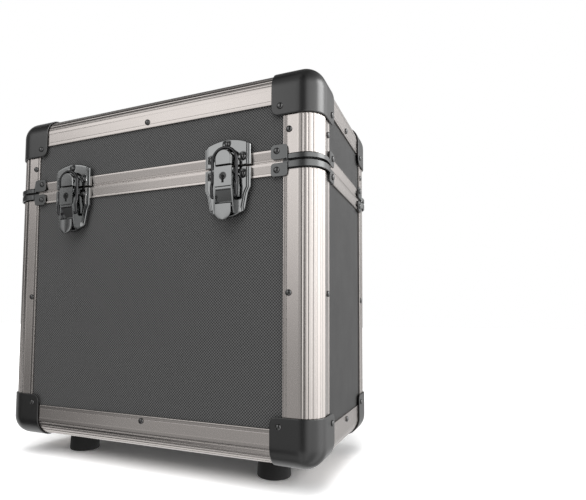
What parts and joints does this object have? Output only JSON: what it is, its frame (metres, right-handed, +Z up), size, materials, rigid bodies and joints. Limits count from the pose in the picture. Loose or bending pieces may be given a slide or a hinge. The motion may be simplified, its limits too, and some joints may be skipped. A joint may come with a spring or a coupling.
{
  "type": "record carrying case",
  "caption": "Upright carrying case for twelve-inch records, with aluminium edges, corner caps, hinged lid, key latches, folding handle and rubber feet.",
  "frame": {"origin": "on the floor under the middle of the whole, with the latches and hinges included", "axes": "+X to the right seen from the latches, -Y out of the front with the latches, +Z up"},
  "size_m": [0.3714, 0.2246, 0.4042],
  "materials": {
    "laminated_board": "dark grey plastic laminate with fine raised dots, over plywood",
    "aluminium_extrusion": "satin warm-grey anodised, fine lengthwise ribs",
    "moulded_cap": "satin black moulded plastic",
    "clip_steel": "black coated pressed steel",
    "latch_steel": "black satin coated pressed steel",
    "lock_steel": "black satin lock barrel",
    "hardware_steel": "black satin coated steel",
    "foot_rubber": "matte black rubber",
    "grip_rubber": "matte black moulded rubber"
  },
  "bodies": {
    "case_body": {"front_board": "laminated_board", "back_board": "laminated_board", "left_board": "laminated_board", "right_board": "laminated_board", "bottom_board": "laminated_board", "body_edge_front_left": "aluminium_extrusion", "body_edge_front_right": "aluminium_extrusion", "body_edge_back_right": "aluminium_extrusion", "body_edge_back_left": "aluminium_extrusion", "bottom_edge_frame": "aluminium_extrusion", "body_rim": "aluminium_extrusion", "body_cap_front_left": "moulded_cap", "body_cap_front_right": "moulded_cap", "body_cap_back_right": "moulded_cap", "body_cap_back_left": "moulded_cap", "body_clip_front_left": "clip_steel", "body_clip_front_right": "clip_steel", "body_clip_back_right": "clip_steel", "body_clip_back_left": "clip_steel", "foot_front_left": "foot_rubber", "foot_front_right": "foot_rubber", "foot_back_right": "foot_rubber", "foot_back_left": "foot_rubber", "latch_base_left": "latch_steel", "latch_base_right": "latch_steel", "hinge_body_leaf_left": "hardware_steel", "hinge_body_leaf_right": "hardware_steel"},
    "lid": {"lid_front_board": "laminated_board", "lid_back_board": "laminated_board", "lid_left_board": "laminated_board", "lid_right_board": "laminated_board", "lid_top_board": "laminated_board", "lid_edge_front_left": "aluminium_extrusion", "lid_edge_front_right": "aluminium_extrusion", "lid_edge_back_right": "aluminium_extrusion", "lid_edge_back_left": "aluminium_extrusion", "lid_top_edge_frame": "aluminium_extrusion", "lid_rim": "aluminium_extrusion", "lid_cap_front_left": "moulded_cap", "lid_cap_front_right": "moulded_cap", "lid_cap_back_right": "moulded_cap", "lid_cap_back_left": "moulded_cap", "lid_clip_front_left": "clip_steel", "lid_clip_front_right": "clip_steel", "lid_clip_back_right": "clip_steel", "lid_clip_back_left": "clip_steel", "latch_strike_left": "latch_steel", "latch_strike_right": "latch_steel", "hinge_lid_leaf_left": "hardware_steel", "hinge_lid_leaf_right": "hardware_steel", "handle_bracket_left": "hardware_steel", "handle_bracket_right": "hardware_steel"},
    "handle": {"handle_bow": "hardware_steel", "handle_grip": "grip_rubber"},
    "lever_left": {"latch_lever_left": "latch_steel"},
    "bail_left": {"latch_bail_left": "latch_steel"},
    "lock_left": {"latch_lock_left": "lock_steel"},
    "lever_right": {"latch_lever_right": "latch_steel"},
    "bail_right": {"latch_bail_right": "latch_steel"},
    "lock_right": {"latch_lock_right": "lock_steel"}
  },
  "joints": [
    {"name": "lid_hinge", "type": "hinge", "parent": "case_body", "child": "lid", "pos_m": [0, 0.10925, 0.297], "axis": [-1, 0, 0], "range_deg": [0, 180]},
    {"name": "handle_fold", "type": "hinge", "parent": "lid", "child": "handle", "pos_m": [0, 0.00285, 0.3937], "axis": [1, 0, 0], "range_deg": [0, 180]},
    {"name": "lever_left_pull", "type": "hinge", "parent": "case_body", "child": "lever_left", "pos_m": [-0.095, -0.10915, 0.2912], "axis": [-1, 0, 0], "range_deg": [0, 100]},
    {"name": "bail_left_swing", "type": "hinge", "parent": "lever_left", "child": "bail_left", "pos_m": [-0.095, -0.10945, 0.267], "axis": [-1, 0, 0], "range_deg": [-100, 0]},
    {"name": "lock_left_turn", "type": "hinge", "parent": "lever_left", "child": "lock_left", "pos_m": [-0.095, -0.11235, 0.2857], "axis": [0, 1, 0], "range_deg": [0, 90]},
    {"name": "lever_right_pull", "type": "hinge", "parent": "case_body", "child": "lever_right", "pos_m": [0.095, -0.10915, 0.2912], "axis": [-1, 0, 0], "range_deg": [0, 100]},
    {"name": "bail_right_swing", "type": "hinge", "parent": "lever_right", "child": "bail_right", "pos_m": [0.095, -0.10945, 0.267], "axis": [-1, 0, 0], "range_deg": [-100, 0]},
    {"name": "lock_right_turn", "type": "hinge", "parent": "lever_right", "child": "lock_right", "pos_m": [0.095, -0.11235, 0.2857], "axis": [0, 1, 0], "range_deg": [0, 90]}
  ],
  "couplings": [
    {"joint": "bail_left_swing", "follows": "lever_left_pull", "ratio": -1},
    {"joint": "bail_right_swing", "follows": "lever_right_pull", "ratio": -1}
  ]
}
